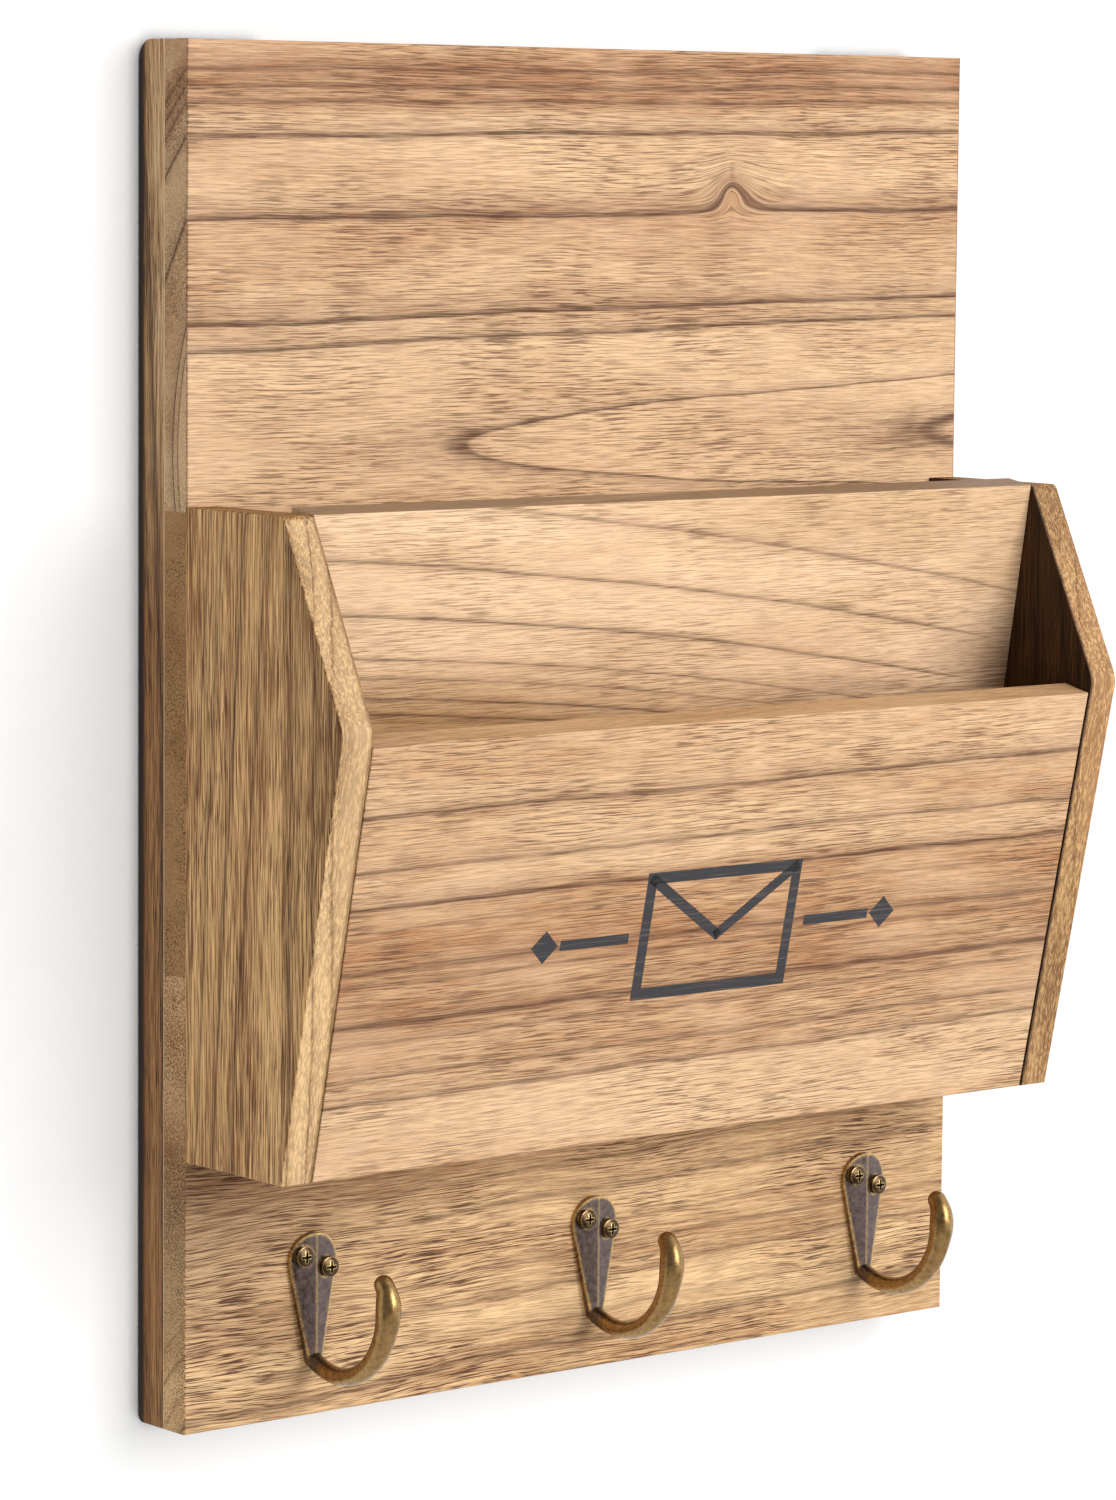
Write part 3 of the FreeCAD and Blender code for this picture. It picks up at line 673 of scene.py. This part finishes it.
print("sign faces", len(sign_mesh.polygons), "box", [round(v, 4) for v in painted_sign.bound_box[0]])

# %% [markdown]
# ## Matt sign paint
# The paint sinks into open grain, so thin paler lines of wood show through it along the grain.

# %% Sign paint
paint, tree, shader = new_material("sign paint")
place = node(tree, "TexCoord").outputs["Object"]
grain = node(tree, "Mapping", i0=place, i2=LEANING, i3=(60, 1500, 1500)).outputs[0]
thin = node(tree, "TexNoise", Vector=grain, Scale=1.0, Detail=2.0, Roughness=0.6).outputs[0]
gaps = spread(tree, thin, 0.5, 0.72)
colour = blend_colour(tree, gaps, chart(38, 36, 40), chart(84, 76, 72))
surface(tree, shader, colour, plus(tree, 0.55, times(tree, gaps, 0.2)), minus(tree, 1.0, gaps),
        0.06 * MM, 0.5)
sign_mesh.materials.append(paint)
print("sign paint:", len(tree.nodes), "nodes")

# %% [markdown]
# ## The stage
# The piece hangs on a white wall above a pale floor. The wall shows only from the front, so that the
# back of the piece can be looked at too: its material turns clear on its far side, and for light that
# isn't on its way to the eye or a reflection. It glows a little, as an overlit studio wall does, and an
# occlusion node that leans along the wall takes the glow away and darkens the wall's colour beside the
# left edge, as painted shade.

# %% Wall and floor
STAGE_HALF = 3.0
WALL_GAP, WALL_UP, FLOOR_DOWN = 0.6 * MM, 0.8, -1.6
SHADE_REACH, TOWARD_PIECE = 7 * MM, (0.9, -0.436, 0)
SHADE = chart(60, 58, 56)


def show_in_front(tree, shader, tone):
    """Makes a stage surface clear from behind and for soft light, and lets it glow in front, with
    painted shade beside the piece.
    """
    path = node(tree, "LightPath").outputs
    seen = larger(tree, path["Is Camera Ray"], path["Is Glossy Ray"])
    behind = node(tree, "NewGeometry").outputs["Backfacing"]
    seen = times(tree, seen, minus(tree, 1.0, behind))
    toward = node(tree, "AmbientOcclusion", {"samples": 3}, Distance=SHADE_REACH, Normal=TOWARD_PIECE)
    # painted shade: the wall's colour and glow drop where the tilted occlusion finds the piece close
    clear_of_painted_shade = spread(tree, toward.outputs["AO"], 0.34, 0.55)
    clear_of_painted_shade = larger(tree, clear_of_painted_shade, path["Is Glossy Ray"])
    tree.links.new(blend_colour(tree, clear_of_painted_shade, SHADE, tone), shader.inputs["Base Color"])
    glow = node(tree, "Emission", Strength=clear_of_painted_shade).outputs[0]
    lit = node(tree, "MixShader", i0=0.5, i1=shader.outputs[0], i2=glow).outputs[0]
    clear = node(tree, "BsdfTransparent").outputs[0]
    mixed = node(tree, "MixShader", i0=seen, i1=clear, i2=lit)
    tree.links.new(mixed.outputs[0], tree.nodes["Material Output"].inputs["Surface"])


def stage_plane(name, matrix, colour, one_sided):
    """A large flat stage surface."""
    bm = bmesh.new()
    bmesh.ops.create_grid(bm, x_segments=2, y_segments=2, size=STAGE_HALF, matrix=matrix)
    mesh = bpy.data.meshes.new(name)
    bm.to_mesh(mesh)
    bm.free()
    made, tree, shader = new_material(name)
    shader.inputs["Roughness"].default_value = 0.9
    place = node(tree, "TexCoord").outputs["Object"]
    plaster = node(tree, "TexNoise", Vector=place, Scale=90.0, Detail=1.0).outputs[0]
    tone = blend_colour(tree, plaster, colour, tuple(0.985 * c for c in colour[:3]) + (1,))
    tree.links.new(tone, shader.inputs["Base Color"])
    if one_sided:
        show_in_front(tree, shader, tone)
    mesh.materials.append(made)
    thing = bpy.data.objects.new(name, mesh)
    bpy.context.scene.collection.objects.link(thing)
    return thing


upright = Matrix.Translation((0, WALL_GAP, WALL_UP)) @ Matrix.Rotation(QUARTER, 4, "X")
wall = stage_plane("studio wall", upright, chart(250, 250, 250), True)
stage_plane("studio floor", Matrix.Translation((0, 0, FLOOR_DOWN)), chart(242, 241, 239), False)
print("wall faces", tuple(wall.data.polygons[0].normal))

# %% [markdown]
# ## Light
# A large soft lamp stands on the right in front, so the left faces fall away and the sides of the
# pocket throw a soft shade inwards. The rest is a white surround, a little dimmer from below. In
# reflections it is darker on the left, which gives the brass its shape.

# %% Lamps and surround
DIM_BELOW, DIM_ABOVE = 0.44, 0.74
SHINE_LEFT, SHINE_RIGHT = 0.2, 1.35


def soft_lamp(name, place, aim, size, power):
    """A square area lamp turned towards a point."""
    data = bpy.data.lights.new(name, "AREA")
    data.size, data.energy = size, power
    thing = bpy.data.objects.new(name, data)
    thing.location = place
    thing.rotation_euler = (Vector(aim) - Vector(place)).to_track_quat("-Z", "Y").to_euler()
    bpy.context.scene.collection.objects.link(thing)
    return thing


soft_lamp("key softbox", place=(0.5, -1.75, 0.38), aim=(0, -0.03, -0.15), size=1.1, power=25)
surround = bpy.data.worlds.new("white surround")
bpy.context.scene.world = surround
surround.use_nodes = True
sky = surround.node_tree
path = node(sky, "LightPath").outputs
way = node(sky, "TexCoord").outputs["Generated"]
lit = spread(sky, node(sky, "SeparateXYZ", i0=way).outputs[2], -0.5, 0.6, DIM_BELOW, DIM_ABOVE)
shine = spread(sky, node(sky, "SeparateXYZ", i0=way).outputs[0], -0.5, 0.7, SHINE_LEFT, SHINE_RIGHT)
lit = node(sky, "MapRange", i0=path["Is Glossy Ray"], i1=0.0, i2=1.0, i3=lit, i4=shine).outputs[0]
strength = node(sky, "MapRange", i0=path["Is Camera Ray"], i1=0.0, i2=1.0, i3=lit, i4=1.0).outputs[0]
sky.links.new(strength, sky.nodes["Background"].inputs["Strength"])
sky.nodes["Background"].inputs["Color"].default_value = (1, 1, 1, 1)
bpy.context.scene.view_settings.view_transform = "Standard"
print("surround:", len(sky.nodes), "nodes, view", bpy.context.scene.view_settings.view_transform)

# %% [markdown]
# ## The camera
# The photograph was taken from the left with a long lens, a little above the middle. Place, turn and
# focal length come from lining up the corners of the boards.

# %% Camera
EYE = Vector((-0.9828, -1.2131, 0.0082))
AZIMUTH, DIP, ROLL = (math.radians(v) for v in (39.196, -6.128, 0.5))
FOCAL = 131.34
ahead = Vector((math.sin(AZIMUTH) * math.cos(DIP), math.cos(AZIMUTH) * math.cos(DIP),
                math.sin(DIP)))
lens = bpy.data.cameras.new("camera")
lens.lens, lens.sensor_width, lens.sensor_fit = FOCAL, 36.0, "AUTO"
lens.clip_start, lens.clip_end = 0.05, 30.0
camera = bpy.data.objects.new("camera", lens)
aimed = ahead.to_track_quat("-Z", "Y").to_matrix().to_4x4()
camera.matrix_world = Matrix.Translation(EYE) @ aimed @ Matrix.Rotation(ROLL, 4, "Z")
bpy.context.scene.collection.objects.link(camera)
bpy.context.scene.camera = camera
print("camera looks", [round(v, 3) for v in ahead])
